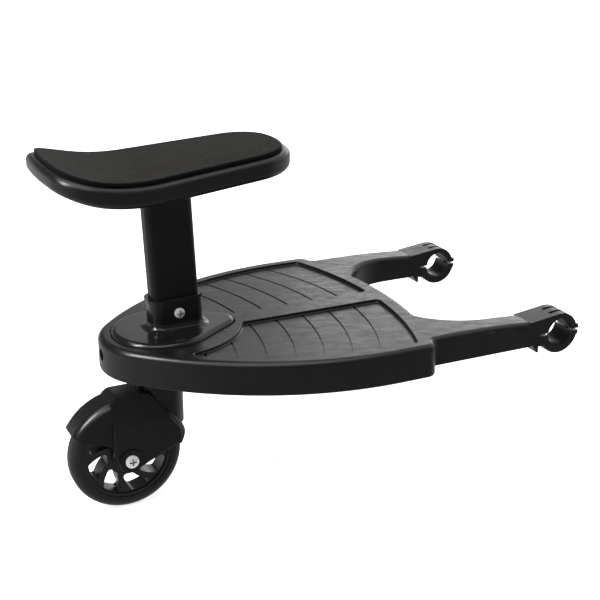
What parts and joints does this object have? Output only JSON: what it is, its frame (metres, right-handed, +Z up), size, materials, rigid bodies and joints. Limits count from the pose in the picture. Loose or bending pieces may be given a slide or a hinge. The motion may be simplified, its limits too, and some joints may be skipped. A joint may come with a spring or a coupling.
{
  "type": "stroller ride-on board",
  "caption": "Ride-on standing board with a saddle seat on a post, one swivelling caster wheel, and two arms ending in clamps that grip the rear axle of a stroller.",
  "frame": {"origin": "midpoint between the two clamps, on the axis of their bores", "axes": "+X away from the board, out of the clamps' open front; +Y along the clamps' axis; +Z up"},
  "size_m": [0.4965, 0.286, 0.3494],
  "materials": {
    "board_plastic": "satin moulded",
    "seat_shell": "soft gloss",
    "seat_foam": "matt fine-grained foam",
    "socket_plastic": "gloss",
    "post_metal": "satin powder coat",
    "fork_plastic": "satin",
    "rim_plastic": "satin",
    "tyre_rubber": "matt, slightly polished tread",
    "screw_chrome": "bright plated",
    "bearing_steel": "ground",
    "bush_nylon": "natural"
  },
  "bodies": {
    "board": {"deck": "board_plastic", "clamp_jaw_left": "board_plastic", "clamp_jaw_right": "board_plastic", "clamp_screws": "screw_chrome", "clamp_nuts": "screw_chrome", "seat_socket": "socket_plastic", "socket_screws": "screw_chrome", "seat_post": "post_metal", "post_bolt": "screw_chrome", "post_nut": "screw_chrome", "seat_pan": "seat_shell", "seat_screws": "screw_chrome", "seat_pad": "seat_foam", "swivel_bush": "bush_nylon"},
    "fork": {"caster_fork": "fork_plastic", "kingpin": "bearing_steel", "kingpin_washer": "bearing_steel", "kingpin_nut": "bearing_steel", "axle_bolt": "screw_chrome", "axle_nut": "screw_chrome", "axle_spacers": "bearing_steel"},
    "wheel": {"wheel_rim": "rim_plastic", "tyre": "tyre_rubber", "wheel_bearings": "bearing_steel", "bearing_sleeve": "bearing_steel"}
  },
  "joints": [
    {"name": "caster_swivel", "type": "hinge", "parent": "board", "child": "fork", "pos_m": [-0.372, 0, -0.02], "axis": [0, 0, 1], "continuous": true},
    {"name": "wheel_spin", "type": "hinge", "parent": "fork", "child": "wheel", "pos_m": [-0.407, 0, -0.099], "axis": [0, 1, 0], "continuous": true}
  ]
}
